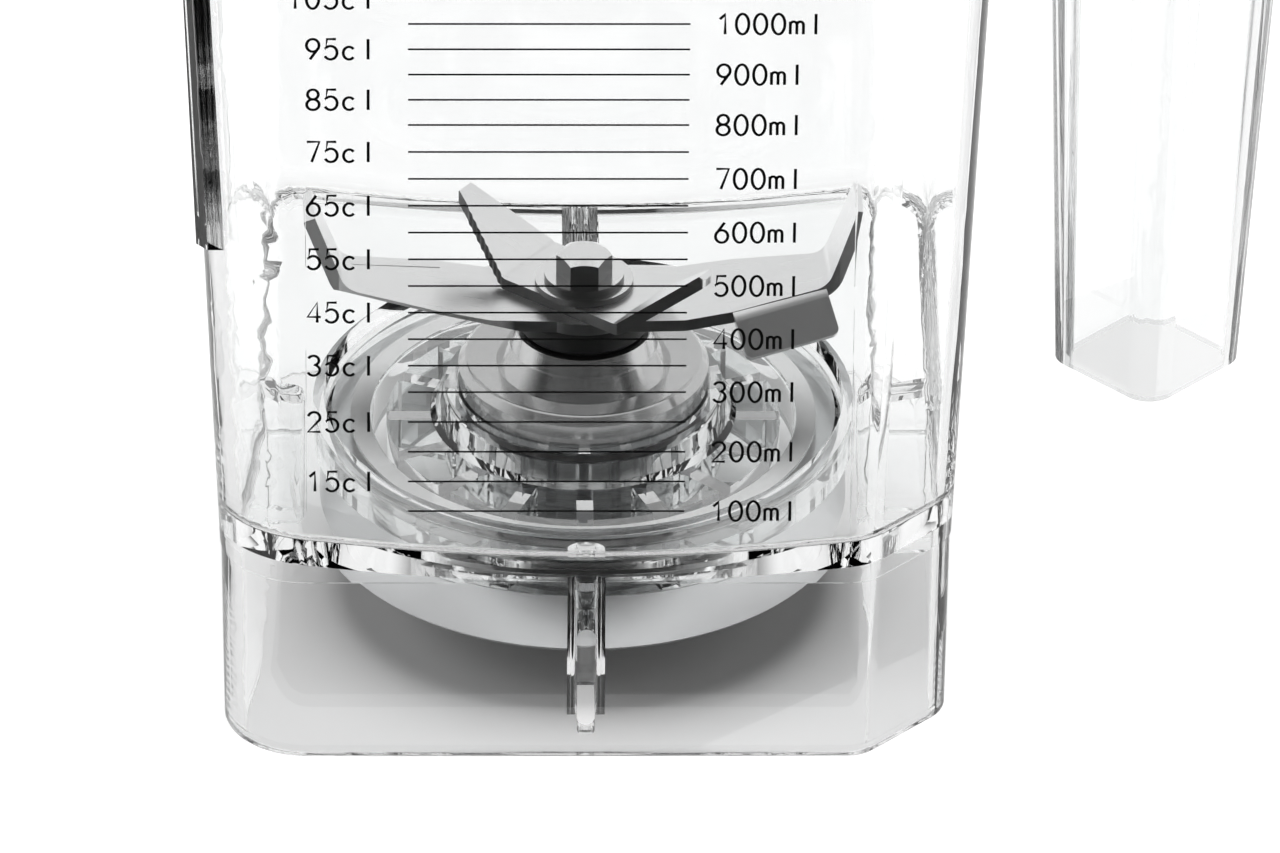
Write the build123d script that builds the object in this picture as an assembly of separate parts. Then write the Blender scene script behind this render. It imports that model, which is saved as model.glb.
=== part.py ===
from build123d import *
import math
import os

os.makedirs("parts", exist_ok=True)

# Blender jar. Millimetres, +Z up. The origin is on the spindle axis in the plane the jar stands on.
# +X is to the right and -Y is towards the viewer when the printed face is seen.

# Jar moulding
base_width = 103.4
skirt_height = 30.0
skirt_draft = 0.6
shoulder_step = 0.2
skirt_rim_round = 1.0
jar_height = 238.0
vessel_draft = 2.4
wall = 3.0
corner_radius = 12.0
handle_chamfer = 12.0
chamfer_blend = 6.0
floor_level = 33.2
floor_thickness = 4.0
floor_slope = 11.5
floor_fillet = 1.8
rim_bead_height = 7.0
rim_bead_width = 1.6
spout_reach = 6.0
spout_radius = 21.0
spout_depth = 36.0

# Locating ribs inside the skirt
rib_width = 5.4
rib_nut_gap = 2.2
rib_bottom = 6.5
rib_slot_width = 2.6
rib_slot_bottom = 3.9
rib_slot_top = 22.0
rib_nose_wall = 1.6

# Handle on the chamfered corner
handle_end_level = 83.3
handle_end_radius = 109.0
handle_width = 20.2
handle_corner = 4.0
handle_taper = 1.8
handle_lean = 1.2
handle_wall = 2.0
handle_top_level = 226.0
bridge_height = 26.0
handle_top_round = 16.0
finger_round = 10.0

# Corner rib on the left
corner_rib_level = 83.2
corner_rib_proud = 0.7
corner_rib_width = 4.4
corner_rib_front = 5.5
corner_rib_length = 16.0
corner_rib_bevel = 1.6
corner_rib_bevel_length = 1.8
corner_rib_drift = 4.5

# Blade base, gasket and ring nut
flange_reach = 6.65
flange_top = 27.8
flange_thickness = 3.0
flange_gap = 0.35
ledge_thickness = 4.2
ledge_margin = 1.0
ledge_draft = 0.1
tube_radius = 30.6
tube_wall = 2.1
tube_bottom = 11.5
tube_gap = 0.4
edge_break = 0.8
collar_base_radius = 21.35
collar_top_radius = 20.0
collar_top = 32.5
hub_radius = 20.5
hub_bottom = 19.0
web_count = 16
web_thickness = 2.4
web_bottom = 14.0
gasket_gap = 0.3
gasket_width = 2.8
gasket_thickness = 1.2
nut_wall = 7.9
nut_height = 10.3
nut_edge = 0.8
nut_notches = 6
nut_notch_width = 7.0
nut_notch_height = 4.0
nut_notch_depth = 3.0
thread_gap = 0.05
seat_gap = 0.03

# Bearing housing and bearings
dome_radius = 18.1
dome_top = 37.0
dome_seat = 31.0
dome_round = 1.2
dome_gap = 0.3
cone_base_radius = 12.6
cone_base_level = 36.2
neck_radius = 9.8
neck_top = 41.9
neck_flare = 0.9
neck_flare_height = 2.6
housing_tube_radius = 13.0
housing_bottom = 13.5
housing_gasket_thickness = 1.0
lock_nut_flats = 32.0
lock_nut_height = 5.2
bearing_outer = 11.0
bearing_bore = 4.0
bearing_width = 7.0
bearing_pitch = 7.5
ball_radius = 1.985
ball_count = 7
ring_thickness = 2.0
ball_gap = 0.02
shield_thickness = 0.4
upper_bearing_top = 36.0
bearing_spacer = 6.0
spacer_wall = 1.5
circlip_thickness = 1.0
circlip_groove = 0.5
circlip_width = 2.2
circlip_opening = 8.0
seal_bore = 8.0
seal_height = 4.4
seal_lip_gap = 0.05
seal_float = 0.5
seal_lip_bottom = 2.6
seal_lip_top = 3.2
seal_open_bottom = 0.9
seal_open_top = 0.6
neck_lip = 0.9
sleeve_radius = 6.0

# Spindle and blades
shaft_flats = 7.0
shoulder_radius = 6.0
shoulder_height = 3.0
spline_radius = 5.75
spline_root = 4.9
spline_teeth = 12
spline_end = 3.5
spacer_radius = 9.35
spacer_bottom = 42.2
spacer_height = 3.3
blade_thickness = 1.8
shaft_top_gap = 0.3
large_washer_radius = 7.1
large_washer_thickness = 1.0
small_washer_radius = 5.75
small_washer_thickness = 0.9
bolt_radius = 2.0
bolt_flats = 7.0
bolt_head = 3.5
bolt_top_radius = 2.7
bolt_chamfer = 30.0
bolt_depth = 16.0

lower_hub_radius = 8.8
lower_arm_width = 8.0
lower_knee = 21.4
lower_knee_width = 7.2
lower_bend = 35.3
lower_bend_width = 4.0
lower_tip = 39.8
lower_tip_width = 3.2
lower_tip_sweep = 2.0
lower_fold_turn = 4.0
lower_rise_start = 14.0
lower_rise = 3.9
lower_tip_height = 16.2
lower_bend_radius = 4.0
lower_bevel = 4.5
lower_edge_land = 0.4
tab_length = 6.7
tab_angle = 48.0
tab_bend_radius = 2.4
tab_root = 2.0
tab_corner = 1.0
tab_end_gap = 0.5

upper_direction = 145.0
upper_bend = 10.5
upper_reach = 21.5
upper_rise = 9.2
upper_bend_radius = 2.2
upper_lead_root = 5.7
upper_lead_tip = 1.2
upper_trail_root = 7.0
upper_trail_tip = 1.2
upper_tip_round = 1.0
tooth_count = 9
tooth_depth = 0.2

# Sizes that follow from the ones above
ledge_top = flange_top - flange_thickness
ledge_under = ledge_top - ledge_thickness
nut_top = ledge_under - seat_gap
nut_bottom = nut_top - nut_height
skirt_half = base_width / 2
flange_radius = tube_radius + flange_reach
gasket_inner = tube_radius + gasket_gap
gasket_outer = gasket_inner + gasket_width
nut_radius = tube_radius + nut_wall
rib_reach = skirt_half - wall - nut_radius - rib_nut_gap
vessel_half = skirt_half + skirt_height * math.tan(math.radians(skirt_draft)) + shoulder_step
vessel_slope = math.tan(math.radians(vessel_draft))
floor_tan = math.tan(math.radians(floor_slope))
floor_edge = vessel_half - wall + (floor_level - skirt_height) * vessel_slope
bearing_bottom = upper_bearing_top - 2 * bearing_width - bearing_spacer
blade_bottom = spacer_bottom + spacer_height
diagonal = Vector(1, -1, 0).normalized()


def ring(outer, inner, bottom, top):
    # A plain round ring between two heights.
    height = top - bottom
    tube = Cylinder(outer, height) - Cylinder(inner, height)
    return Pos(0, 0, (bottom + top) / 2) * tube


def turned(*points):
    # A solid of revolution from radius and height pairs.
    profile = make_face(Polyline(*[(r, 0, z) for r, z in points], close=True))
    return revolve(profile, Axis.Z)


def section(half):
    # Square outline with three round corners and one chamfered corner for the handle.
    grow = half - skirt_half
    leg = handle_chamfer + grow * (2 - math.sqrt(2))
    outline = Polyline(
        (half - leg, -half),
        (half, leg - half),
        (half, half),
        (-half, half),
        (-half, -half),
        close=True,
    )
    face = make_face(outline)
    plain = [v for v in face.vertices() if v.X < 0 or v.Y > 0]
    face = fillet(plain, corner_radius + grow)
    cut = [v for v in face.vertices() if v.X > 0 and v.Y < 0 and v.X - v.Y > 2 * half - leg - 0.01]
    return fillet(cut, chamfer_blend + grow)


def prism(half, bottom, top, draft):
    # The jar outline drawn upwards with draft.
    solid = extrude(section(half), top - bottom, taper=-draft)
    return Pos(0, 0, bottom) * solid


def floor_height(radius):
    return floor_level - (floor_edge - radius) * floor_tan


# Jar: outside of the skirt and the vessel.
far = 110.0
rim_half = vessel_half + (jar_height - skirt_height) * vessel_slope
outside = prism(skirt_half, 0, skirt_height, skirt_draft)
outside += prism(vessel_half, skirt_height, jar_height, vessel_draft)
bead_bottom = jar_height - rim_bead_height
bead_half = vessel_half + (bead_bottom - skirt_height) * vessel_slope
outside += prism(bead_half + rim_bead_width, bead_bottom, jar_height, vessel_draft)

# Pouring spout at the corner opposite the handle.
rim_corner = corner_radius + rim_half - skirt_half
spout_corner = (rim_half - rim_corner) * math.sqrt(2) + rim_corner
spout_place = -diagonal * (spout_corner + spout_reach - spout_radius)
spout_bottom = jar_height - spout_depth
spout_outer = Cone(2 * wall, spout_radius + wall, spout_depth)
spout_inner = Cone(wall, spout_radius, spout_depth)
spout_at = Pos(spout_place.X, spout_place.Y, spout_bottom + spout_depth / 2)
outside += spout_at * spout_outer

# Handle: tapered tube leaning outwards, joined to the corner by a bridge below the rim.
lean = math.tan(math.radians(handle_lean))
spread = math.tan(math.radians(handle_taper))
handle_length = handle_top_level - handle_end_level
half_width = handle_width / 2
side_plane = Plane(origin=(0, 0, 0), x_dir=diagonal, z_dir=Vector(-1, -1, 0))
end_plane = Plane(origin=(0, 0, 0), x_dir=Vector(1, 1, 0).normalized(), z_dir=diagonal)
bridge_low = handle_top_level - bridge_height
bridge_root = (2 * rim_half - 2 * handle_chamfer) / math.sqrt(2) - wall
inner_top = handle_end_radius - half_width + handle_length * (lean - spread)
outer_top = handle_end_radius + half_width + handle_length * (lean + spread)
inner_bend = inner_top - bridge_height * (lean - spread)
side_face = make_face(
    Polyline(
        (handle_end_radius - half_width, handle_end_level),
        (handle_end_radius + half_width, handle_end_level),
        (outer_top, handle_top_level),
        (bridge_root, handle_top_level),
        (bridge_root, bridge_low),
        (inner_bend, bridge_low),
        close=True,
    )
)
finger_corner = side_face.vertices().sort_by_distance(Vector(inner_bend, bridge_low, 0))[0]
side_face = fillet(finger_corner, finger_round)
top_corner = side_face.vertices().sort_by_distance(Vector(outer_top, handle_top_level, 0))[0]
side_face = fillet(top_corner, handle_top_round)
handle = extrude(side_plane * side_face, far, both=True)
top_half = half_width + handle_length * spread
end_face = make_face(
    Polyline(
        (-half_width, handle_end_level),
        (half_width, handle_end_level),
        (top_half, handle_top_level),
        (-top_half, handle_top_level),
        close=True,
    )
)
handle &= extrude(end_plane * end_face, 2 * far)
long_edges = []
for edge in handle.edges():
    middle = edge.center()
    reach = diagonal.dot(middle)
    off_centre = abs(middle.X + middle.Y) / math.sqrt(2)
    if reach > bridge_root + 1 and middle.Z > handle_end_level + 1 and off_centre > 1:
        long_edges.append(edge)
handle = fillet(long_edges, handle_corner)
handle_plane = Plane(
    origin=diagonal * handle_end_radius + Vector(0, 0, handle_end_level),
    x_dir=(diagonal + Vector(0, 0, -lean)).normalized(),
    z_dir=(Vector(0, 0, 1) + diagonal * lean).normalized(),
)
core_width = handle_width - 2 * handle_wall
core_section = RectangleRounded(core_width, core_width, handle_corner - handle_wall / 2)
core_length = bridge_low - handle_end_level
handle_core = extrude(handle_plane * core_section, core_length, taper=-handle_taper)
handle_core += extrude(handle_plane * core_section, -2 * handle_wall)
outside += handle

# Corner rib on the front left corner: its end face looks towards the viewer.
rib_low_x = -(vessel_half + (corner_rib_level - skirt_height) * vessel_slope) - corner_rib_proud
rib_low_y = rib_low_x + corner_rib_proud + corner_rib_front
rib_top_y = -rim_half + corner_rib_front + corner_rib_drift
low_outline = Pos(0, 0, corner_rib_level) * make_face(
    Polyline(
        (rib_low_x + corner_rib_bevel, rib_low_y),
        (rib_low_x + 2 * corner_rib_width, rib_low_y),
        (rib_low_x + 2 * corner_rib_width, rib_low_y + corner_rib_length),
        (rib_low_x, rib_low_y + corner_rib_length),
        (rib_low_x, rib_low_y + corner_rib_bevel_length),
        close=True,
    )
)
top_outline = Pos(0, 0, bead_bottom + 1) * make_face(
    Polyline(
        (corner_rib_bevel - rim_half, rib_top_y),
        (2 * corner_rib_width - rim_half, rib_top_y),
        (2 * corner_rib_width - rim_half, rib_top_y + corner_rib_length),
        (-rim_half, rib_top_y + corner_rib_length),
        (-rim_half, rib_top_y + corner_rib_bevel_length),
        close=True,
    )
)
outside += loft([low_outline, top_outline], ruled=True)

# Inside of the vessel above the dished floor.
cavity_start = ledge_under
cavity_half = vessel_half - wall - (skirt_height - cavity_start) * vessel_slope
cavity = prism(cavity_half, cavity_start, jar_height + 1, vessel_draft)
above_floor = turned(
    (0, ledge_top + 1),
    (flange_radius - 4, ledge_top + 1),
    (flange_radius - 4, floor_height(flange_radius - 4)),
    (far, floor_height(far)),
    (far, jar_height + 2),
    (0, jar_height + 2),
)
cavity &= above_floor
floor_edges = [
    e
    for e in cavity.edges()
    if floor_level - 3 < e.center().Z < floor_level + 8 and Vector(e.center().X, e.center().Y).length > flange_radius
]
cavity = fillet(floor_edges, floor_fillet)
spout_hollow = spout_at * spout_inner

# Space inside the skirt below the floor.
under_drop = floor_thickness / math.cos(math.radians(floor_slope))
ledge_reach = nut_radius + ledge_margin
ledge_wall = ledge_reach + ledge_draft
under_space = prism(skirt_half - wall, -1, floor_level + 20, skirt_draft)
under_space &= turned(
    (0, -2),
    (far, -2),
    (far, floor_height(far) - under_drop),
    (ledge_wall, floor_height(ledge_wall) - under_drop),
    (ledge_reach, ledge_under),
    (0, ledge_under),
)

# Locating ribs stay standing in that space, each cored by a slot from outside.
inner_face = skirt_half - wall
nose_centre = inner_face - rib_reach + rib_width / 2
rib_top = floor_level + 6
rib_block = Pos(nose_centre, 0, (rib_bottom + rib_top) / 2) * Cylinder(rib_width / 2, rib_top - rib_bottom)
rib_block += Pos((nose_centre + skirt_half) / 2, 0, (rib_bottom + rib_top) / 2) * Box(
    skirt_half - nose_centre, rib_width, rib_top - rib_bottom
)
slot_end = inner_face - rib_reach + rib_nose_wall
slot_length = skirt_half + 5 - slot_end
slot_height = rib_slot_top - rib_slot_bottom
slot_middle = (rib_slot_top + rib_slot_bottom) / 2
slot = Box(slot_length, rib_slot_width, slot_height - rib_slot_width)
for end in (-1, 1):
    round_end = Rot(0, 90, 0) * Cylinder(rib_slot_width / 2, slot_length)
    slot += Pos(0, 0, end * (slot_height - rib_slot_width) / 2) * round_end
slot = Pos(slot_end + slot_length / 2, 0, slot_middle) * slot
slots = []
for turn in range(4):
    under_space -= Rot(0, 0, 90 * turn) * rib_block
    slots.append(Rot(0, 0, 90 * turn) * slot)

jar = outside - cavity - spout_hollow - under_space - handle_core
for one_slot in slots:
    jar -= one_slot
recess_top = floor_level + 5
jar -= Pos(0, 0, (ledge_top + recess_top) / 2) * Cylinder(flange_radius + flange_gap, recess_top - ledge_top)
jar -= Pos(0, 0, ledge_top) * Cylinder(tube_radius + tube_gap, 2 * flange_top)
rim_edges = [e for e in jar.edges() if abs(e.center().Z) < wall / 100]
jar = fillet(rim_edges, skirt_rim_round)
export_step(jar, "parts/jar.step")

# Blade base: flange, threaded tube, hub, collar and radial webs.
flange_under = ledge_top + seat_gap
gasket_bottom = ledge_top + seat_gap
gasket_top = gasket_bottom + gasket_thickness
base = turned(
    (0, flange_under),
    (flange_radius, flange_under),
    (flange_radius, flange_top - edge_break),
    (flange_radius - edge_break, flange_top),
    (collar_base_radius + edge_break, flange_top),
    (collar_base_radius, flange_top + edge_break),
    (collar_top_radius, collar_top),
    (0, collar_top),
)
base += ring(tube_radius, tube_radius - tube_wall, tube_bottom, flange_under + flange_thickness / 2)
base += Pos(0, 0, (hub_bottom + flange_top) / 2) * Cylinder(hub_radius, flange_top - hub_bottom)
web_end = tube_radius - tube_wall / 2
web_length = web_end - hub_radius + 1
for number in range(web_count):
    web = Pos(hub_radius - 1 + web_length / 2, 0, (web_bottom + flange_top - 1) / 2) * Box(
        web_length, web_thickness, flange_top - 1 - web_bottom
    )
    base += Rot(0, 0, 360 / web_count * number) * web
gasket_seat = dome_seat - housing_gasket_thickness
base -= Pos(0, 0, gasket_seat - seat_gap + far / 2) * Cylinder(dome_radius + dome_gap, far)
base -= Pos(0, 0, flange_top) * Cylinder(housing_tube_radius + dome_gap, far)
base -= ring(gasket_outer + seat_gap, gasket_inner - seat_gap, ledge_under, gasket_top + seat_gap)
export_step(base, "parts/blade_base.step")

gasket = ring(gasket_outer, gasket_inner, gasket_bottom, gasket_top)
export_step(gasket, "parts/base_gasket.step")

# Ring nut with spanner notches in its lower inside edge.
nut = turned(
    (tube_radius + thread_gap, nut_bottom),
    (nut_radius - nut_edge, nut_bottom),
    (nut_radius, nut_bottom + nut_edge),
    (nut_radius, nut_top - nut_edge),
    (nut_radius - nut_edge, nut_top),
    (tube_radius + thread_gap, nut_top),
)
for number in range(nut_notches):
    notch = Pos(tube_radius, 0, nut_bottom) * Box(2 * nut_notch_depth, nut_notch_width, 2 * nut_notch_height)
    nut -= Rot(0, 0, 360 / nut_notches * (number + 0.5)) * notch
export_step(nut, "parts/ring_nut.step")

# Bearing housing: dome, neck and threaded tube, bored from below.
lip_bore = seal_bore - neck_lip
seal_bottom = upper_bearing_top + seal_float
seal_top = seal_bottom + seal_height
housing = turned(
    (bearing_outer, housing_bottom),
    (housing_tube_radius, housing_bottom),
    (housing_tube_radius, dome_seat),
    (dome_radius, dome_seat),
    (dome_radius, dome_top - dome_round),
    (dome_radius - dome_round, dome_top),
    (cone_base_radius, cone_base_level),
    (neck_radius + neck_flare, neck_top - neck_flare_height),
    (neck_radius, neck_top),
    (lip_bore, neck_top),
    (lip_bore, seal_top),
    (seal_bore, seal_top),
    (seal_bore, upper_bearing_top),
    (bearing_outer, upper_bearing_top),
)
dome_edge = [
    e for e in housing.edges().filter_by(GeomType.CIRCLE) if abs(e.center().Z - dome_top) < 0.01 and e.radius > cone_base_radius
]
housing = fillet(dome_edge, dome_round / 2)
groove_top = bearing_bottom
groove_bottom = groove_top - circlip_thickness
housing -= ring(bearing_outer + circlip_groove, bearing_outer - 1, groove_bottom, groove_top)
export_step(housing, "parts/bearing_housing.step")

housing_gasket = ring(dome_radius, housing_tube_radius + dome_gap, gasket_seat, dome_seat)
export_step(housing_gasket, "parts/housing_gasket.step")

lock_top = hub_bottom - seat_gap
lock_nut = Pos(0, 0, lock_top - lock_nut_height / 2) * extrude(
    RegularPolygon(lock_nut_flats / 2, 6, major_radius=False), lock_nut_height / 2, both=True
)
lock_nut -= Pos(0, 0, lock_top) * Cylinder(housing_tube_radius + thread_gap, 3 * lock_nut_height)
export_step(lock_nut, "parts/housing_lock_nut.step")

lip_seal = turned(
    (sleeve_radius + seal_lip_gap, seal_bottom + seal_lip_bottom),
    (sleeve_radius + seal_open_bottom, seal_bottom),
    (seal_bore, seal_bottom),
    (seal_bore, seal_top),
    (sleeve_radius + seal_open_top, seal_top),
    (sleeve_radius + seal_lip_gap, seal_bottom + seal_lip_top),
)
export_step(lip_seal, "parts/lip_seal.step")

# Bearings: rings with ball grooves, balls between them and a shield on the outer side.
lower_bearing_top = bearing_bottom + bearing_width
outer_inside = bearing_outer - ring_thickness
inner_outside = bearing_bore + ring_thickness
groove = Torus(bearing_pitch, ball_radius + ball_gap)


def bearing(top, shield_side):
    # Returns outer ring, inner ring, balls and shield of one bearing.
    middle = top - bearing_width / 2
    outer = ring(bearing_outer, outer_inside, top - bearing_width, top) - Pos(0, 0, middle) * groove
    inner = ring(inner_outside, bearing_bore, top - bearing_width, top) - Pos(0, 0, middle) * groove
    balls = []
    for number in range(ball_count):
        place = Rot(0, 0, 360 / ball_count * number) * Pos(bearing_pitch, 0, middle)
        balls.append(place * Sphere(ball_radius))
    level = middle + shield_side * (bearing_width / 2 - shield_thickness)
    shield = ring(outer_inside, inner_outside + 0.3, level - shield_thickness / 2, level + shield_thickness / 2)
    return outer, inner, Compound(children=balls), shield


upper_outer, upper_inner, upper_balls, upper_shield = bearing(upper_bearing_top, 1)
lower_outer, lower_inner, lower_balls, lower_shield = bearing(lower_bearing_top, -1)
export_step(upper_outer, "parts/upper_outer_ring.step")
export_step(upper_inner, "parts/upper_inner_ring.step")
export_step(upper_balls, "parts/upper_balls.step")
export_step(upper_shield, "parts/upper_shield.step")
export_step(lower_outer, "parts/lower_outer_ring.step")
export_step(lower_inner, "parts/lower_inner_ring.step")
export_step(lower_balls, "parts/lower_balls.step")
export_step(lower_shield, "parts/lower_shield.step")

spacer_top = upper_bearing_top - bearing_width
outer_spacer = ring(bearing_outer, bearing_outer - spacer_wall, lower_bearing_top, spacer_top)
inner_spacer = ring(bearing_bore + spacer_wall, bearing_bore, lower_bearing_top, spacer_top)
export_step(outer_spacer, "parts/outer_spacer.step")
export_step(inner_spacer, "parts/inner_spacer.step")

circlip = ring(bearing_outer + circlip_groove, bearing_outer + circlip_groove - circlip_width, groove_bottom, groove_top)
circlip -= Pos(bearing_outer, 0, groove_top) * Box(bearing_outer, circlip_opening, 4 * circlip_thickness)
export_step(circlip, "parts/circlip.step")

# Drive shaft: splined end, shoulder, plain shaft with two flats through the blades, tapped from above.
upper_blade_top = blade_bottom + 2 * blade_thickness
shaft_top = upper_blade_top - shaft_top_gap
shoulder_bottom = bearing_bottom - shoulder_height
shaft = Pos(0, 0, (bearing_bottom + shaft_top) / 2) * Cylinder(bearing_bore, shaft_top - bearing_bottom)
flat_length = shaft_top - spacer_bottom
shaft -= Pos(0, 0, spacer_bottom + flat_length / 2) * (
    Box(far, far, flat_length) - Box(far, shaft_flats, flat_length)
)
shaft += Pos(0, 0, bearing_bottom - shoulder_height / 2) * Cylinder(shoulder_radius, shoulder_height)
spline_length = shoulder_bottom - spline_end
spline = Cylinder(spline_root, spline_length)
tooth_pitch = 2 * math.pi * spline_root / spline_teeth
for number in range(spline_teeth):
    tooth = Pos(spline_radius / 2, 0, 0) * Box(spline_radius, tooth_pitch / 2, spline_length)
    spline += Rot(0, 0, 360 / spline_teeth * number) * tooth
shaft += Pos(0, 0, spline_end + spline_length / 2) * spline
bolt_seat = upper_blade_top + large_washer_thickness + small_washer_thickness
bolt_end = bolt_seat - bolt_depth
shaft -= Pos(0, 0, bolt_end - 1 + far / 2) * Cylinder(bolt_radius, far)
export_step(shaft, "parts/drive_shaft.step")

seal_sleeve = ring(sleeve_radius, bearing_bore, upper_bearing_top, spacer_bottom)
export_step(seal_sleeve, "parts/seal_sleeve.step")


def shaft_hole(bottom, top):
    # Round hole with two flats that fits the top of the shaft.
    hole = Cylinder(bearing_bore, top - bottom) & Box(far, shaft_flats, top - bottom)
    return Pos(0, 0, (bottom + top) / 2) * hole


blade_spacer = turned(
    (0, spacer_bottom),
    (spacer_radius - 0.5, spacer_bottom),
    (spacer_radius, spacer_bottom + 0.5),
    (spacer_radius, blade_bottom - 0.5),
    (spacer_radius - 0.5, blade_bottom),
    (0, blade_bottom),
)
blade_spacer -= shaft_hole(spacer_bottom - 1, blade_bottom + 1)
export_step(blade_spacer, "parts/blade_spacer.step")


def strip_profile(half_path, bend_radius, level):
    # Side view of a bent strip, mirrored about the axis, as a solid slab.
    mirrored = [(-x, z) for x, z in reversed(half_path)]
    path = FilletPolyline(*mirrored, *half_path, radius=bend_radius)
    face = trace(path, line_width=blade_thickness)
    slab = extrude(Plane.XZ * face, far, both=True)
    return Pos(0, 0, level + blade_thickness / 2) * slab


# Lower blade: rising arms with upturned tips and one down-bent tab on each arm.
lower_path = [
    (lower_rise_start, 0),
    (lower_bend, lower_rise),
    (lower_tip, lower_tip_height),
]
lower_slab = Rot(0, 0, lower_fold_turn) * strip_profile(lower_path, lower_bend_radius, blade_bottom)
plan_end = lower_tip + 4
half_plan = [
    (0, -lower_arm_width),
    (lower_knee, -lower_knee_width),
    (lower_bend + 1.4, -lower_bend_width),
    (plan_end, lower_tip_sweep - lower_tip_width),
    (plan_end, lower_tip_sweep + lower_tip_width),
    (lower_bend, lower_bend_width + lower_tip_sweep / 2),
    (lower_knee, lower_knee_width),
    (0, lower_arm_width),
]
plan = make_face(Polyline(*half_plan, *[(-x, -y) for x, y in half_plan[1:-1]], close=True))
plan += Circle(lower_hub_radius)
lower_blade = lower_slab & extrude(plan, far)
rise_rate = lower_rise / (lower_bend - lower_rise_start)
tab_start = Vector(lower_knee, -lower_knee_width, (lower_knee - lower_rise_start) * rise_rate)
tab_stop_x = lower_bend - tab_end_gap
tab_stop = Vector(tab_stop_x, -lower_bend_width, (tab_stop_x - lower_rise_start) * rise_rate)
tab_run = (tab_stop - tab_start).normalized()
tab_width = (tab_stop - tab_start).length
tab_level = Vector(0, 0, blade_bottom + blade_thickness / 2)
flat_normal = Vector(-rise_rate, 0, 1)
flat_normal = (flat_normal - tab_run * flat_normal.dot(tab_run)).normalized()
tab_plane = Plane(origin=tab_start + tab_level, x_dir=tab_run, z_dir=flat_normal)
tab_turn = math.radians(tab_angle)
tab_line = FilletPolyline(
    (tab_root, 0),
    (0, 0),
    (-tab_length * math.cos(tab_turn), -tab_length * math.sin(tab_turn)),
    radius=tab_bend_radius,
)
tab = extrude(Plane.YZ * trace(tab_line, line_width=blade_thickness), tab_width)
tab_end = tab.faces().sort_by(Axis.Y)[0]
tab_corners = [e for e in tab_end.edges() if e.length < 2 * blade_thickness]
tab = tab_plane * fillet(tab_corners, tab_corner)
lower_blade += tab
lower_blade += Rot(0, 0, 180) * tab
bevel_root = Vector(-lower_knee, -lower_knee_width, tab_start.Z)
bevel_tip = Vector(-lower_bend, -lower_bend_width - lower_tip_sweep / 2, lower_rise)
bevel_run = (bevel_tip - bevel_root).normalized()
bevel_up = Vector(rise_rate, 0, 1)
bevel_up = (bevel_up - bevel_run * bevel_up.dot(bevel_run)).normalized()
bevel_level = Vector(0, 0, blade_bottom + blade_thickness - lower_edge_land)
bevel_plane = Plane(origin=bevel_root + bevel_level, x_dir=bevel_run, z_dir=bevel_up)
bevel_angle = math.degrees(math.atan2(blade_thickness - lower_edge_land, lower_bevel))
bevel_cut = Rot(bevel_angle, 0, 0) * Pos(0, 0, -lower_bevel / 2) * Box(far, 4 * lower_bevel, lower_bevel)
bevel_cut = bevel_plane * bevel_cut
lower_blade -= bevel_cut
lower_blade -= Rot(0, 0, 180) * bevel_cut
lower_blade -= shaft_hole(blade_bottom - blade_thickness, upper_blade_top)
export_step(lower_blade, "parts/lower_blade.step")

# Upper blade: short strip with two wings bent up and teeth on the leading edges.
upper_path = [(upper_bend, 0), (upper_reach, upper_rise)]
upper_slab = strip_profile(upper_path, upper_bend_radius, blade_bottom + blade_thickness)
tooth_step = (upper_reach - upper_bend) / (tooth_count + 2)
tooth_fall = (upper_lead_root - upper_lead_tip) / (tooth_count + 2)
lead = []
for number in range(tooth_count):
    x = upper_bend + tooth_step * number
    y = upper_lead_root - tooth_fall * number
    lead.append((x, y))
    lead.append((x + tooth_step / 2, y - tooth_fall / 2 - tooth_depth))
wing_plan = [
    (upper_reach, -upper_trail_tip),
    (upper_reach, upper_lead_tip),
    *reversed(lead),
]
plan = make_face(
    Polyline(
        *wing_plan,
        (-upper_bend, upper_trail_root),
        *[(-x, -y) for x, y in wing_plan],
        (upper_bend, -upper_trail_root),
        close=True,
    )
)
plan = fillet([v for v in plan.vertices() if abs(v.X) > upper_reach - tooth_step / 2], upper_tip_round)
upper_blade = upper_slab & extrude(plan, far)
upper_blade = Rot(0, 0, upper_direction) * upper_blade
upper_blade -= shaft_hole(blade_bottom, upper_blade_top + 1)
export_step(upper_blade, "parts/upper_blade.step")

# Washers and bolt.
large_top = upper_blade_top + large_washer_thickness
large_washer = ring(large_washer_radius, bolt_radius, upper_blade_top, large_top)
export_step(large_washer, "parts/large_washer.step")
small_washer = ring(small_washer_radius, bolt_radius, large_top, bolt_seat)
export_step(small_washer, "parts/small_washer.step")
head = extrude(RegularPolygon(bolt_flats / 2, 6, major_radius=False, rotation=0), bolt_head)
chamfer_fall = (bolt_flats - bolt_top_radius) * math.tan(math.radians(bolt_chamfer))
head &= turned(
    (0, 0),
    (bolt_flats, 0),
    (bolt_flats, bolt_head - chamfer_fall),
    (bolt_top_radius, bolt_head),
    (0, bolt_head),
)
bolt = Pos(0, 0, bolt_seat) * head
bolt += Pos(0, 0, bolt_seat - bolt_depth / 2) * Cylinder(bolt_radius, bolt_depth)
export_step(bolt, "parts/blade_bolt.step")
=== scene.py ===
import math

import bpy
from mathutils import Matrix, Vector


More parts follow.
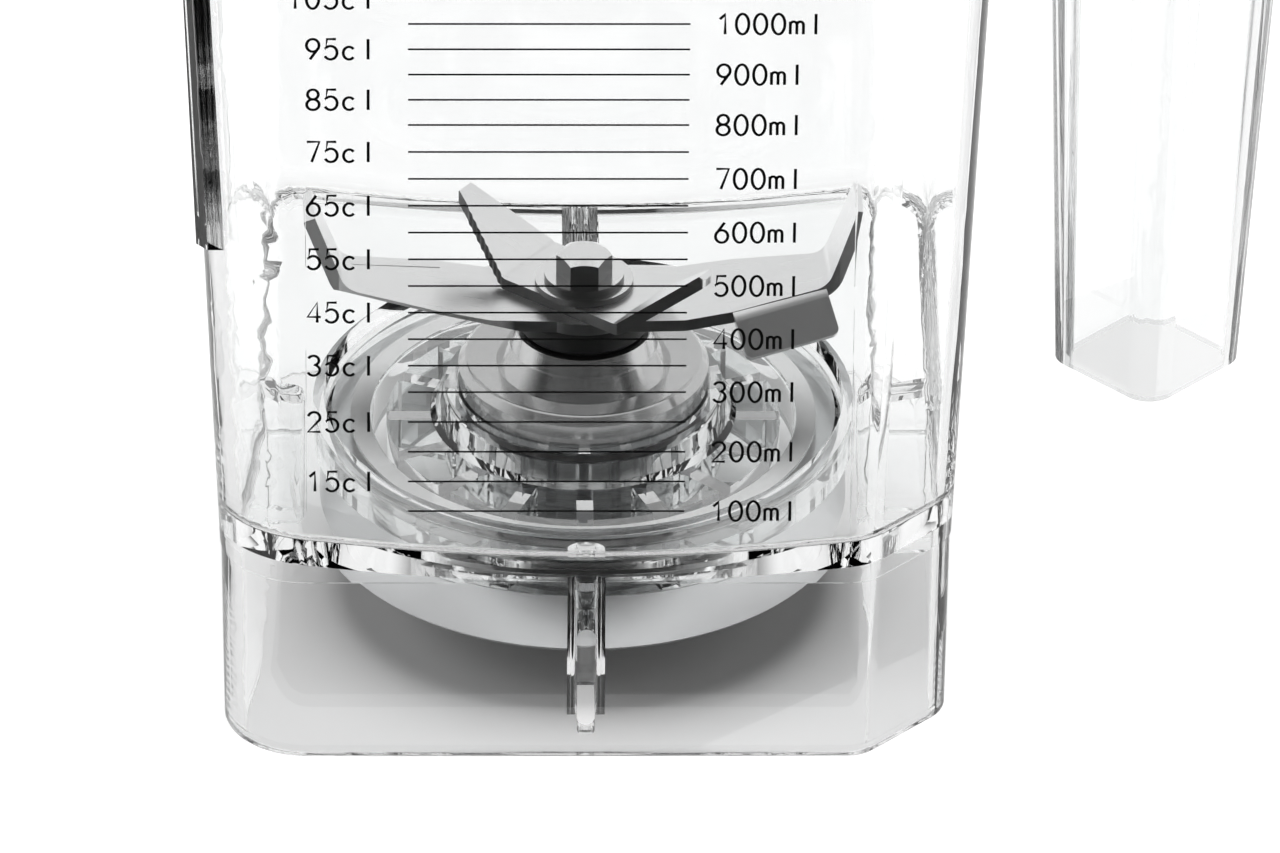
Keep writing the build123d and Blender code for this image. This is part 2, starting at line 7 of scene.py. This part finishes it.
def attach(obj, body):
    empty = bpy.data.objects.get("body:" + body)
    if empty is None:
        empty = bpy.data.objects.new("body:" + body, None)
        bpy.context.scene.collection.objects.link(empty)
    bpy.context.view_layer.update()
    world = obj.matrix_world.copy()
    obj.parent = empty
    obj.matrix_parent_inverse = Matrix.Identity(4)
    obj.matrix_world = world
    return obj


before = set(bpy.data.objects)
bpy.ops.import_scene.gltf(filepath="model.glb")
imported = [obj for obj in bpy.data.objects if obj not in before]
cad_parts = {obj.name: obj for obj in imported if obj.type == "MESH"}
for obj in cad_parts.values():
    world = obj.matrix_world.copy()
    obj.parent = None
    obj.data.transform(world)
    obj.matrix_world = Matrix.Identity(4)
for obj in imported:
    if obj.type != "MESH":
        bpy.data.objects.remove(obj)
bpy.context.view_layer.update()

# Jar: one clear moulding with vessel, skirt, corner handle, locating ribs and corner rib.
# Polycarbonate, injection moulded in a polished tool, so every wall is see-through and glossy.
MM = 0.001
# A mix node has sockets for each kind of value, and these are the ones for colours.
MIX_FACTOR = 0
MIX_FIRST = 6
MIX_SECOND = 7
MIX_RESULT = 2


def colour(code):
    # Turns an sRGB hex value into the linear colour that the shaders take.
    parts = [int(code[i : i + 2], 16) / 255 for i in (1, 3, 5)]
    parts = [c / 12.92 if c <= 0.04045 else ((c + 0.055) / 1.055) ** 2.4 for c in parts]
    return (*parts, 1.0)


def add(tree, kind, inputs, **settings):
    # Adds a node, sets its properties, and sets or links each input that is named.
    node = tree.nodes.new(kind)
    for name, value in settings.items():
        setattr(node, name, value)
    for name, value in inputs.items():
        if isinstance(value, bpy.types.NodeSocket):
            tree.links.new(value, node.inputs[name])
        else:
            node.inputs[name].default_value = value
    return node


def finish_of(name):
    # Starts a material: returns it with its node tree, surface shader and position in metres.
    made = bpy.data.materials.new(name)
    made.use_nodes = True
    tree = made.node_tree
    shader = tree.nodes["Principled BSDF"]
    place = tree.nodes.new("ShaderNodeTexCoord").outputs["Object"]
    return made, tree, shader, place


def dress(made, *names):
    # Gives the material to the nodes that are named.
    for name in names:
        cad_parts[name].material_slots[0].material = made


# Moulded polycarbonate: water clear and glass smooth, so what stands behind it shows, bent at the edges.
# Flow in the mould leaves a faint change of tint in a wide wall.
polycarbonate, tree, shader, place = finish_of("polycarbonate_polished_mould")
FLOW = 14 * MM
flow = add(tree, "ShaderNodeTexNoise", {"Vector": place, "Scale": 1 / FLOW, "Detail": 0.0})
tint = add(tree, "ShaderNodeValToRGB", {"Fac": flow.outputs["Fac"]}, name="tint")
tint.color_ramp.elements[0].color = colour("#fafbfb")
tint.color_ramp.elements[1].color = colour("#fdfdfd")
tree.links.new(tint.outputs["Color"], shader.inputs["Base Color"])
shader.inputs["Transmission Weight"].default_value = 1.0
shader.inputs["Roughness"].default_value = 0.0
shader.inputs["IOR"].default_value = 1.585
dress(polycarbonate, "jar")
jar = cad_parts["jar"]
# Clear walls throw next to no shadow.
jar.visible_shadow = False

# Volume scale: screen printed on the front wall of the jar, lines every 50 ml with labels on both sides.
# Black ink in even strokes, two hundredths of a millimetre thick, the digits heavier than the lines.
FIRST_MARK = 100
FULL_MARK = 2000
MARK_STEP = 50
MIDDLE_ZONE = 300
HIGH_ZONE = 800
LOW_RISE = 5.07 * MM
MIDDLE_RISE = 4.48 * MM
HIGH_RISE = 4.17 * MM
FIRST_LINE_HEIGHT = 42.4 * MM
LINE_LEFT = -25.4 * MM
LINE_RIGHT = 13.75 * MM
LABEL_LEFT = 17.6 * MM
LABEL_RIGHT = -29.5 * MM
DIGIT_HEIGHT = 3.35 * MM
DIGIT_WIDTH = 1.75 * MM
DIGIT_PITCH = 2.5 * MM
STROKE = 0.42 * MM
LINE_STROKE = 0.3 * MM
INK_THICKNESS = 0.02 * MM
ARC_STEP = 18
CLOSED_GAP = 0.001 * MM
IN_FRONT = -0.3
WALL_LOW = 60 * MM
WALL_HIGH = 160 * MM


def arc(centre_x, centre_y, radius_x, radius_y, start, stop):
    # Points of an oval arc, angles in degrees from the right, counterclockwise.
    count = max(4, int(abs(stop - start) / ARC_STEP))
    points = []
    for step in range(count + 1):
        angle = math.radians(start + (stop - start) * step / count)
        points.append((centre_x + radius_x * math.cos(angle), centre_y + radius_y * math.sin(angle)))
    return points


# Each character is drawn by the run of the pen in a box about one wide and one high.
STROKES = {
    "0": [arc(0.5, 0.5, 0.5, 0.5, 0, 360)],
    "1": [[(0.12, 0.74), (0.42, 0.9), (0.55, 1.0), (0.55, 0.0)]],
    "2": [[*arc(0.5, 0.72, 0.48, 0.28, 165, -25), (0.0, 0.0), (1.0, 0.0)]],
    "3": [[*arc(0.47, 0.76, 0.44, 0.24, 155, -80), *arc(0.47, 0.27, 0.5, 0.27, 80, -155)]],
    "4": [[(0.78, 0.0), (0.78, 1.0), (0.0, 0.28), (1.06, 0.28)]],
    "5": [[(0.92, 1.0), (0.2, 1.0), (0.08, 0.5), *arc(0.48, 0.33, 0.52, 0.33, 140, -150)]],
    "6": [arc(0.5, 0.31, 0.5, 0.31, 0, 360), [(0.72, 1.0), (0.08, 0.46)]],
    "7": [[(0.0, 1.0), (1.0, 1.0), (0.38, 0.0)]],
    "8": [arc(0.5, 0.76, 0.43, 0.24, 0, 360), arc(0.5, 0.26, 0.5, 0.26, 0, 360)],
    "9": [arc(0.5, 0.69, 0.5, 0.31, 0, 360), [(0.28, 0.0), (0.92, 0.54)]],
    "c": [arc(0.52, 0.31, 0.46, 0.31, 40, 320)],
    "m": [
        [(0.0, 0.0), (0.0, 0.62)],
        [*arc(0.26, 0.46, 0.26, 0.16, 180, 0), (0.52, 0.0)],
        [*arc(0.78, 0.46, 0.26, 0.16, 180, 0), (1.04, 0.0)],
    ],
    "l": [[(0.6, 0.0), (0.6, 1.0)]],
}


def line_height(mark):
    # The jar widens upwards, so the lines close up in three zones.
    low = min(mark, MIDDLE_ZONE) - FIRST_MARK
    middle = max(0, min(mark, HIGH_ZONE) - MIDDLE_ZONE)
    high = max(0, mark - HIGH_ZONE)
    return FIRST_LINE_HEIGHT + (low * LOW_RISE + middle * MIDDLE_RISE + high * HIGH_RISE) / MARK_STEP


def label_runs(text, left, height):
    # Pen runs of a label that starts at left and is centred on height.
    runs = []
    for number, letter in enumerate(text):
        for stroke in STROKES[letter]:
            start = left + number * DIGIT_PITCH
            runs.append([(start + x * DIGIT_WIDTH, height + (y - 0.5) * DIGIT_HEIGHT) for x, y in stroke])
    return runs


def ink(name, runs, width):
    # Lays pen runs, given as X and height, on the sloping front wall as flat printed strokes.
    low_hit = jar.ray_cast(Vector((0, IN_FRONT, WALL_LOW)), Vector((0, 1, 0)))[1]
    high_hit = jar.ray_cast(Vector((0, IN_FRONT, WALL_HIGH)), Vector((0, 1, 0)))[1]
    upwards = (high_hit - low_hit).normalized()
    across = Vector((1, 0, 0))
    outwards = across.cross(upwards)
    curve = bpy.data.curves.new(name, "CURVE")
    curve.dimensions = "3D"
    curve.bevel_depth = width / 2
    curve.bevel_resolution = 1
    curve.use_fill_caps = True
    for run in runs:
        spline = curve.splines.new("POLY")
        spline.points.add(len(run) - 1)
        closed = math.dist(run[0], run[-1]) < CLOSED_GAP
        for point, (x, z) in zip(spline.points, run):
            point.co = (x, (z - low_hit.z) / upwards.z, 0, 1)
        spline.use_cyclic_u = closed
    pen = bpy.data.objects.new(name + "_pen", curve)
    bpy.context.scene.collection.objects.link(pen)
    strokes = pen.evaluated_get(bpy.context.evaluated_depsgraph_get())
    piece = bpy.data.objects.new(name, bpy.data.meshes.new_from_object(strokes))
    bpy.data.objects.remove(pen)
    flat = INK_THICKNESS / width
    turn = Matrix((across, upwards, outwards * flat)).transposed().to_4x4()
    piece.matrix_world = Matrix.Translation(low_hit + outwards * INK_THICKNESS / 2) @ turn
    bpy.context.scene.collection.objects.link(piece)
    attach(piece, "jar")
    return piece


line_runs = []
digit_runs = []
for mark in range(FIRST_MARK, FULL_MARK + 1, MARK_STEP):
    height = line_height(mark)
    line_runs.append([(LINE_LEFT, height), (LINE_RIGHT, height)])
    if mark % 100 == 0:
        digit_runs += label_runs(f"{mark}ml", LABEL_LEFT, height)
    else:
        text = f"{mark // 10}cl"
        digit_runs += label_runs(text, LABEL_RIGHT - len(text) * DIGIT_PITCH, height)
scale_lines = ink("scale_lines", line_runs, LINE_STROKE)
scale_digits = ink("scale_digits", digit_runs, STROKE)

# Screen ink: dense black with a soft sheen and the fine pin-holes of the printing mesh.
screen_ink, tree, shader, place = finish_of("screen_ink_printed")
MESH_GRAIN = 0.15 * MM
grain = add(tree, "ShaderNodeTexNoise", {"Vector": place, "Scale": 1 / MESH_GRAIN, "Detail": 1.0})
tone = add(tree, "ShaderNodeValToRGB", {"Fac": grain.outputs["Fac"]})
tone.color_ramp.elements[0].color = colour("#050505")
tone.color_ramp.elements[1].color = colour("#1c1c1c")
tree.links.new(tone.outputs["Color"], shader.inputs["Base Color"])
shader.inputs["Roughness"].default_value = 0.6
shader.inputs["Specular IOR Level"].default_value = 0.2
for piece in (scale_lines, scale_digits):
    piece.data.materials.append(screen_ink)

# Blade base: the clear carrier with a ring of webs that closes the hole in the jar floor.
# Polycarbonate as the jar but a little greyer, moulded in a polished tool, screwed to the ring nut below.
base_polycarbonate = polycarbonate.copy()
base_polycarbonate.name = "polycarbonate_carrier_mould"
base_tint = base_polycarbonate.node_tree.nodes["tint"].color_ramp
base_tint.elements[0].color = colour("#f6f7f7")
base_tint.elements[1].color = colour("#f9fafa")
dress(base_polycarbonate, "blade_base")

# Gaskets: flat rings that seal the carrier on the jar floor and the dome on the carrier.
# Grey silicone rubber, pressed, with a dull even skin that shows no sharp highlight.
silicone, tree, shader, place = finish_of("silicone_pressed")
SKIN_GRAIN = 0.6 * MM
SKIN_DEPTH = 0.01 * MM
grain = add(tree, "ShaderNodeTexNoise", {"Vector": place, "Scale": 1 / SKIN_GRAIN, "Detail": 3.0})
tone = add(tree, "ShaderNodeValToRGB", {"Fac": grain.outputs["Fac"]})
tone.color_ramp.elements[0].color = colour("#d0d0d0")
tone.color_ramp.elements[1].color = colour("#e6e6e6")
tree.links.new(tone.outputs["Color"], shader.inputs["Base Color"])
skin = {"Height": grain.outputs["Fac"], "Distance": SKIN_DEPTH, "Strength": 1.0}
bump = add(tree, "ShaderNodeBump", skin)
tree.links.new(bump.outputs["Normal"], shader.inputs["Normal"])
shader.inputs["Roughness"].default_value = 0.55
shader.inputs["IOR"].default_value = 1.43
dress(silicone, "base_gasket", "housing_gasket")

# Ring nut: the large nut under the floor that pulls the carrier down on its gasket.
# Aluminium, turned and notched on the lower edge for a spanner.
# The fine turning lines spread the reflections into a soft satin sheen.
aluminium, tree, shader, place = finish_of("aluminium_satin_turned")
TURNING_PITCH = 0.35 * MM
TURNING_DEPTH = 0.01 * MM
split = add(tree, "ShaderNodeSeparateXYZ", {"Vector": place})
lines = add(tree, "ShaderNodeMath", {0: split.outputs["Z"], 1: 1 / TURNING_PITCH}, operation="MULTIPLY")
turned = {"W": lines.outputs[0], "Scale": 1.0, "Detail": 2.0}
cut = add(tree, "ShaderNodeTexNoise", turned, noise_dimensions="1D")
groove = {"Height": cut.outputs["Fac"], "Distance": TURNING_DEPTH, "Strength": 0.6}
bump = add(tree, "ShaderNodeBump", groove)
tree.links.new(bump.outputs["Normal"], shader.inputs["Normal"])
shader.inputs["Base Color"].default_value = colour("#e3e4e5")
shader.inputs["Metallic"].default_value = 1.0
shader.inputs["Roughness"].default_value = 0.32
dress(aluminium, "ring_nut")

# Bearing housing: the dome and tube that carry the bearings, held from below by a lock nut.
# Stainless steel, turned and polished bright, with faint rings left by the polishing wheel.
stainless, tree, shader, place = finish_of("stainless_polished")
POLISH_PITCH = 0.4 * MM
POLISH_DEPTH = 0.004 * MM
split = add(tree, "ShaderNodeSeparateXYZ", {"Vector": place})
rings = add(tree, "ShaderNodeMath", {0: split.outputs["Z"], 1: 1 / POLISH_PITCH}, operation="MULTIPLY")
polished = {"W": rings.outputs[0], "Scale": 1.0, "Detail": 3.0}
polish = add(tree, "ShaderNodeTexNoise", polished, noise_dimensions="1D")
gloss = add(tree, "ShaderNodeMapRange", {"Value": polish.outputs["Fac"], "To Min": 0.08, "To Max": 0.2})
tree.links.new(gloss.outputs["Result"], shader.inputs["Roughness"])
groove = {"Height": polish.outputs["Fac"], "Distance": POLISH_DEPTH, "Strength": 0.5}
bump = add(tree, "ShaderNodeBump", groove)
tree.links.new(bump.outputs["Normal"], shader.inputs["Normal"])
shader.inputs["Base Color"].default_value = colour("#c9c9c9")
shader.inputs["Metallic"].default_value = 1.0
dress(stainless, "bearing_housing")

# Lock nut, bearings, spacers, circlip, sleeve and shaft: the running gear inside the housing.
# Bearing steel and plain turned steel, bright but not polished, with a slightly uneven gloss.
steel, tree, shader, place = finish_of("steel_turned")
TURNED_GRAIN = 0.8 * MM
grain = add(tree, "ShaderNodeTexNoise", {"Vector": place, "Scale": 1 / TURNED_GRAIN, "Detail": 4.0})
gloss = add(tree, "ShaderNodeMapRange", {"Value": grain.outputs["Fac"], "To Min": 0.14, "To Max": 0.22})
tree.links.new(gloss.outputs["Result"], shader.inputs["Roughness"])
shader.inputs["Base Color"].default_value = colour("#b4b5b7")
shader.inputs["Metallic"].default_value = 1.0
dress(steel, "housing_lock_nut", "outer_spacer", "circlip", "inner_spacer", "seal_sleeve", "drive_shaft")
dress(steel, "upper_outer_ring", "upper_inner_ring", "upper_balls", "upper_shield")
dress(steel, "lower_outer_ring", "lower_inner_ring", "lower_balls", "lower_shield")

# Lip seal: the rotary seal in the neck of the housing, pressed in from above.
# Nitrile rubber, black, dull, with a smooth lip.
nitrile, tree, shader, place = finish_of("nitrile_moulded")
LIP_GRAIN = 0.5 * MM
grain = add(tree, "ShaderNodeTexNoise", {"Vector": place, "Scale": 1 / LIP_GRAIN, "Detail": 2.0})
gloss = add(tree, "ShaderNodeMapRange", {"Value": grain.outputs["Fac"], "To Min": 0.45, "To Max": 0.65})
tree.links.new(gloss.outputs["Result"], shader.inputs["Roughness"])
shader.inputs["Base Color"].default_value = colour("#1a1a1a")
dress(nitrile, "lip_seal")

# Blade spacer: the disc between housing and blades that keeps the running gap.
# Black acetal, moulded, with a fine satin skin.
acetal, tree, shader, place = finish_of("acetal_moulded")
SATIN_GRAIN = 0.3 * MM
grain = add(tree, "ShaderNodeTexNoise", {"Vector": place, "Scale": 1 / SATIN_GRAIN, "Detail": 2.0})
gloss = add(tree, "ShaderNodeMapRange", {"Value": grain.outputs["Fac"], "To Min": 0.28, "To Max": 0.42})
tree.links.new(gloss.outputs["Result"], shader.inputs["Roughness"])
shader.inputs["Base Color"].default_value = colour("#101010")
dress(acetal, "blade_spacer")

# Blades: two strips stamped from sheet, ground along the edges and bent, crossed on the spindle.
# Stainless blade steel: the rolled faces are bright with a fine straight grain.
# The edges and folded tabs that face the front or the back are duller, and painted shade darkens them over
# most of each arm.
blade_steel, tree, shader, place = finish_of("blade_steel_stamped_lower")
ROLL_LENGTH = 6 * MM
ROLL_WIDTH = 0.25 * MM
ROLL_DEPTH = 0.006 * MM
SHADE_FULL_TO = 10 * MM
SHADE_GONE_AT = 12 * MM
rolled = (1 / ROLL_LENGTH, 1 / ROLL_WIDTH, 1 / ROLL_LENGTH)
stretch = add(tree, "ShaderNodeMapping", {"Vector": place, "Scale": rolled})
grain = add(tree, "ShaderNodeTexNoise", {"Vector": stretch.outputs["Vector"], "Scale": 1.0, "Detail": 3.0})
gloss = add(tree, "ShaderNodeMapRange", {"Value": grain.outputs["Fac"], "To Min": 0.22, "To Max": 0.38})
groove = {"Height": grain.outputs["Fac"], "Distance": ROLL_DEPTH, "Strength": 0.5}
bump = add(tree, "ShaderNodeBump", groove)
tree.links.new(bump.outputs["Normal"], shader.inputs["Normal"])
facing = tree.nodes.new("ShaderNodeTexCoord").outputs["Normal"]
towards = {0: facing, 1: (0.0, 1.0, 0.0)}
sideways = add(tree, "ShaderNodeVectorMath", towards, operation="DOT_PRODUCT", name="across")
turned_away = add(tree, "ShaderNodeMath", {0: sideways.outputs["Value"]}, operation="ABSOLUTE")
steep = {"Value": turned_away.outputs[0], "From Min": 0.5, "From Max": 0.95}
cut = add(tree, "ShaderNodeMapRange", steep, name="edge")
along = add(tree, "ShaderNodeVectorMath", {0: place, 1: (1.0, 0.0, 0.0)}, operation="DOT_PRODUCT")
edge_place = {0: along.outputs["Value"], 1: sideways.outputs["Value"]}
arm = add(tree, "ShaderNodeMath", edge_place, operation="MULTIPLY")
painted_shade_span = {"Value": arm.outputs[0], "From Min": SHADE_GONE_AT, "From Max": SHADE_FULL_TO}
painted_shade_reach = add(tree, "ShaderNodeMapRange", painted_shade_span, name="painted_shade_reach")
dark = {0: cut.outputs["Result"], 1: painted_shade_reach.outputs["Result"]}
edge = add(tree, "ShaderNodeMath", dark, operation="MULTIPLY")
# Painted shade: faces that look to the front or the back take a mid grey instead of the bright steel, over
# most of each arm.
painted_shade_tones = {MIX_FACTOR: edge.outputs[0], MIX_FIRST: colour("#fafafa"), MIX_SECOND: colour("#777777")}
tone = add(tree, "ShaderNodeMix", painted_shade_tones, data_type="RGBA")
glosses = {"Factor": edge.outputs[0], "A": gloss.outputs["Result"], "B": 0.5}
dull = add(tree, "ShaderNodeMix", glosses)
tree.links.new(tone.outputs[MIX_RESULT], shader.inputs["Base Color"])
tree.links.new(dull.outputs["Result"], shader.inputs["Roughness"])
shader.inputs["Metallic"].default_value = 1.0
dress(blade_steel, "lower_blade")
# The upper blade lies across the lower one, so its edges face another way, and painted shade darkens all of
# them.
UPPER_BLADE_TURN = math.radians(145.0)
upper_steel = blade_steel.copy()
upper_steel.name = "blade_steel_stamped_upper"
across = (-math.sin(UPPER_BLADE_TURN), math.cos(UPPER_BLADE_TURN), 0.0)
upper_steel.node_tree.nodes["across"].inputs[1].default_value = across
upper_steel.node_tree.nodes["edge"].inputs["From Min"].default_value = 0.55
upper_steel.node_tree.nodes["edge"].inputs["From Max"].default_value = 0.65
upper_steel.node_tree.nodes["painted_shade_reach"].inputs["From Min"].default_value = 1.0
upper_steel.node_tree.nodes["painted_shade_reach"].inputs["From Max"].default_value = 0.9
dress(upper_steel, "upper_blade")

# Washers and bolt: they clamp the blades on the shaft.
# Stainless steel, the washers stamped and the bolt cold headed.
# Their flat tops are bright, and the stamped and headed sides are duller and carry painted shade, a dark
# grey where they stand upright.
bright_steel, tree, shader, place = finish_of("stainless_stamped_bright")
HEADED_GRAIN = 2.5 * MM
grain = add(tree, "ShaderNodeTexNoise", {"Vector": place, "Scale": 1 / HEADED_GRAIN, "Detail": 1.0})
gloss = add(tree, "ShaderNodeMapRange", {"Value": grain.outputs["Fac"], "To Min": 0.1, "To Max": 0.2})
facing = tree.nodes.new("ShaderNodeTexCoord").outputs["Normal"]
split = add(tree, "ShaderNodeSeparateXYZ", {"Vector": facing})
painted_shade_side = add(tree, "ShaderNodeMapRange", {"Value": split.outputs["Z"], "From Min": 0.5, "From Max": 0.1})
# Painted shade: faces that stand upright take a dark grey, and the flat tops keep the bright steel.
painted_shade_tones = {MIX_FACTOR: painted_shade_side.outputs["Result"], MIX_FIRST: colour("#efefef"), MIX_SECOND: colour("#6c6c6c")}
tone = add(tree, "ShaderNodeMix", painted_shade_tones, data_type="RGBA")
glosses = {"Factor": painted_shade_side.outputs["Result"], "A": gloss.outputs["Result"], "B": 0.35}
dull = add(tree, "ShaderNodeMix", glosses)
tree.links.new(tone.outputs[MIX_RESULT], shader.inputs["Base Color"])
tree.links.new(dull.outputs["Result"], shader.inputs["Roughness"])
shader.inputs["Metallic"].default_value = 1.0
dress(bright_steel, "large_washer", "small_washer", "blade_bolt")

# Floor: a white table that runs out of view on all sides and takes the shadow.
# Seen straight, or through both walls of the jar, it is lifted to the white of the ground.
scene = bpy.context.scene
FLOOR_HALF = 3.0
FLOOR_DROP = 0.2 * MM
ONE_WALL_CROSSINGS = 3.5
STRAIGHT_LIFT = 0.32
DEEP_LIFT = 0.26
SHADE_LIFT = 0.03
sheet = bpy.data.meshes.new("floor")
corners = [(-1, -1), (1, -1), (1, 1), (-1, 1)]
points = [(x * FLOOR_HALF, y * FLOOR_HALF, -FLOOR_DROP) for x, y in corners]
sheet.from_pydata(points, [], [(0, 1, 2, 3)])
floor = bpy.data.objects.new("floor", sheet)
scene.collection.objects.link(floor)
white_table, tree, shader, place = finish_of("table_white_matt")
path = tree.nodes.new("ShaderNodeLightPath")
shader.inputs["Base Color"].default_value = colour("#f9f9f9")
shader.inputs["Roughness"].default_value = 0.9
shader.inputs["Specular IOR Level"].default_value = 0.0
shader.inputs["Emission Color"].default_value = colour("#ffffff")
crossings = {0: path.outputs["Transmission Depth"], 1: ONE_WALL_CROSSINGS}
deep = add(tree, "ShaderNodeMath", crossings, operation="GREATER_THAN")
straight = {0: path.outputs["Is Camera Ray"], 1: STRAIGHT_LIFT, 2: SHADE_LIFT}
direct = add(tree, "ShaderNodeMath", straight, operation="MULTIPLY_ADD")
both = {0: deep.outputs[0], 1: DEEP_LIFT, 2: direct.outputs[0]}
lift = add(tree, "ShaderNodeMath", both, operation="MULTIPLY_ADD")
tree.links.new(lift.outputs[0], shader.inputs["Emission Strength"])
# The lift is there to be looked at, so the renderer doesn't sample it as a lamp.
white_table.cycles.emission_sampling = "NONE"
sheet.materials.append(white_table)

# Flag: a black card just over the table in front of the jar, as studios use it.
# It darkens the front of the metal, and only reflections see it.
FLAG_NEAR = -62 * MM
FLAG_NEAR_HALF = 60 * MM
FLAG_FAR = -1.6
FLAG_FAR_HALF = 0.9
FLAG_HEIGHT = 2 * MM
FIRST_BOUNCE = 0.5
card = bpy.data.meshes.new("flag")
corners = [
    (-FLAG_FAR_HALF, FLAG_FAR),
    (FLAG_FAR_HALF, FLAG_FAR),
    (FLAG_NEAR_HALF, FLAG_NEAR),
    (-FLAG_NEAR_HALF, FLAG_NEAR),
]
card.from_pydata([(x, y, FLAG_HEIGHT) for x, y in corners], [], [(0, 1, 2, 3)])
flag = bpy.data.objects.new("flag", card)
scene.collection.objects.link(flag)
flag.visible_camera = False
flag.visible_diffuse = False
flag.visible_shadow = False
# Black card, open to all other rays, so that it doesn't show through the clear walls from behind.
black_card, tree, shader, place = finish_of("card_black")
shader.inputs["Base Color"].default_value = colour("#101010")
shader.inputs["Roughness"].default_value = 0.9
path = tree.nodes.new("ShaderNodeLightPath")
after_gloss = {0: path.outputs["Glossy Depth"], 1: FIRST_BOUNCE}
reflected = add(tree, "ShaderNodeMath", after_gloss, operation="GREATER_THAN")
open_air = tree.nodes.new("ShaderNodeBsdfTransparent")
shaders = {0: reflected.outputs[0], 1: open_air.outputs[0], 2: shader.outputs[0]}
shown = add(tree, "ShaderNodeMixShader", shaders)
tree.links.new(shown.outputs[0], tree.nodes["Material Output"].inputs["Surface"])
card.materials.append(black_card)

# Light: one large softbox above and one on each side, which no reflection and no clear wall shows.
# A white world is seen through the clear walls, and reflections find it dark in front.


def softbox(name, place, width, height, power):
    # Adds a rectangular lamp that points at the foot of the jar.
    lamp = bpy.data.lights.new(name, "AREA")
    lamp.shape = "RECTANGLE"
    lamp.size = width
    lamp.size_y = height
    lamp.energy = power
    holder = bpy.data.objects.new(name, lamp)
    holder.location = place
    holder.rotation_mode = "QUATERNION"
    holder.rotation_quaternion = (-Vector(place)).to_track_quat("-Z", "Y")
    scene.collection.objects.link(holder)
    return holder


# The clear carrier lets light down to its gasket, which the renderer's shadows don't show.
# So the gaskets have a top light of their own that the carrier doesn't shade.
TOP_PLACE = (0.0, 0.25, 1.8)
SIDE_REACH = 1.3
SIDE_BACK = 0.1
SIDE_HEIGHT = 0.7
top = softbox("top_softbox", TOP_PLACE, width=1.4, height=1.2, power=22)
through = softbox("top_softbox_through", TOP_PLACE, width=1.4, height=1.2, power=42)
LEFT_PLACE = (-SIDE_REACH, SIDE_BACK, SIDE_HEIGHT)
left = softbox("left_softbox", LEFT_PLACE, width=1.2, height=1.0, power=10)
RIGHT_PLACE = (SIDE_REACH, SIDE_BACK, SIDE_HEIGHT)
right = softbox("right_softbox", RIGHT_PLACE, width=1.2, height=1.0, power=10)
for lamp in (top, through, left, right):
    lamp.visible_glossy = False
    lamp.visible_transmission = False
gaskets = bpy.data.collections.new("gaskets")
others = bpy.data.collections.new("others")
for name in ("base_gasket", "housing_gasket"):
    gaskets.objects.link(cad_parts[name])
    others.objects.link(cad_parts[name])
for member in others.collection_objects:
    member.light_linking.link_state = "EXCLUDE"
carrier = bpy.data.collections.new("carrier")
carrier.objects.link(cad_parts["blade_base"])
carrier.collection_objects[0].light_linking.link_state = "EXCLUDE"
top.light_linking.receiver_collection = others
through.light_linking.receiver_collection = gaskets
through.light_linking.blocker_collection = carrier

FRONT_LEVEL = 0.06
MATT_LEVEL = 0.05
world = bpy.data.worlds.new("studio")
scene.world = world
world.use_nodes = True
tree = world.node_tree
background = tree.nodes["Background"]
path = tree.nodes.new("ShaderNodeLightPath")
direction = tree.nodes.new("ShaderNodeTexCoord").outputs["Generated"]
split = add(tree, "ShaderNodeSeparateXYZ", {"Vector": direction})
front = {
    "Value": split.outputs["Y"],
    "From Min": -0.45,
    "From Max": 0.15,
    "To Min": FRONT_LEVEL,
    "To Max": 1.0,
}
sweep = add(tree, "ShaderNodeMapRange", front, interpolation_type="SMOOTHSTEP")
after_gloss = {0: path.outputs["Glossy Depth"], 1: FIRST_BOUNCE}
reflected = add(tree, "ShaderNodeMath", after_gloss, operation="GREATER_THAN")
shown = add(tree, "ShaderNodeMix", {"Factor": reflected.outputs[0], "A": 1.0, "B": sweep.outputs["Result"]})
after_matt = {0: path.outputs["Diffuse Depth"], 1: FIRST_BOUNCE}
scattered = add(tree, "ShaderNodeMath", after_matt, operation="GREATER_THAN")
dim = {"Factor": scattered.outputs[0], "A": shown.outputs["Result"], "B": MATT_LEVEL}
level = add(tree, "ShaderNodeMix", dim)
background.inputs["Color"].default_value = colour("#ffffff")
# The world is there to be seen, and the lamps give the light.
world.cycles.sampling_method = "NONE"
tree.links.new(level.outputs["Result"], background.inputs["Strength"])

# Light runs far inside clear walls before it comes out, so its paths are long.
scene.view_settings.view_transform = "Standard"
scene.cycles.max_bounces = 20
scene.cycles.transmission_bounces = 20
scene.cycles.glossy_bounces = 16
scene.cycles.diffuse_bounces = 0

# Camera: a long lens from the front, looking down on the base of the jar.
# It stands about two metres off, so the walls hardly converge.
CAMERA_PLACE = Vector((-26.5, -1956.9, 1232.5)) * MM
CAMERA_TILT = math.radians(58.3)
CAMERA_TURN = math.radians(-0.866)
camera = bpy.data.cameras.new("camera")
camera.sensor_width = 36.0
camera.lens = 446.3
camera.clip_start = 0.05
holder = bpy.data.objects.new("camera", camera)
turn = Matrix.Rotation(CAMERA_TILT, 4, "X") @ Matrix.Rotation(CAMERA_TURN, 4, "Y")
holder.matrix_world = Matrix.Translation(CAMERA_PLACE) @ turn
scene.collection.objects.link(holder)
scene.camera = holder
